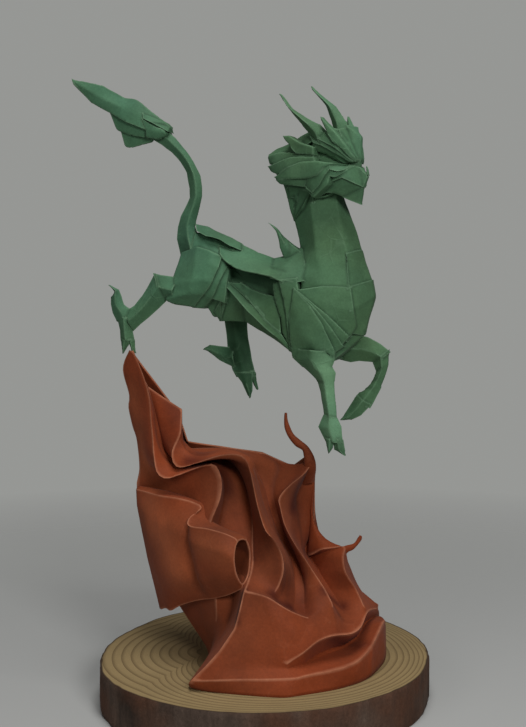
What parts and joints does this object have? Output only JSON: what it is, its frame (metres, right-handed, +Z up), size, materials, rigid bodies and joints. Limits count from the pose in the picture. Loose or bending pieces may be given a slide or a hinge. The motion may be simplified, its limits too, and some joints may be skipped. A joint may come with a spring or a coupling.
{
  "type": "folded paper kirin on a paper flame",
  "caption": "Folded paper kirin standing with one hind hoof on the tip of a folded paper flame, on a round slice of wood.",
  "frame": {"origin": "centre of the underside of the wood slice", "axes": "+Z up, seen from -Y the kirin's near side shows with its head towards +X"},
  "size_m": [0.1747, 0.167, 0.2989],
  "materials": {
    "green_paper": "matte dyed craft paper, slightly mottled",
    "red_paper": "matte dyed craft paper, worn lighter along the creases",
    "slice_wood": "sawn end grain with growth rings, rough bark round it"
  },
  "bodies": {
    "root": {"kirin": "green_paper", "flame": "red_paper", "wood_slice": "slice_wood"}
  },
  "joints": []
}
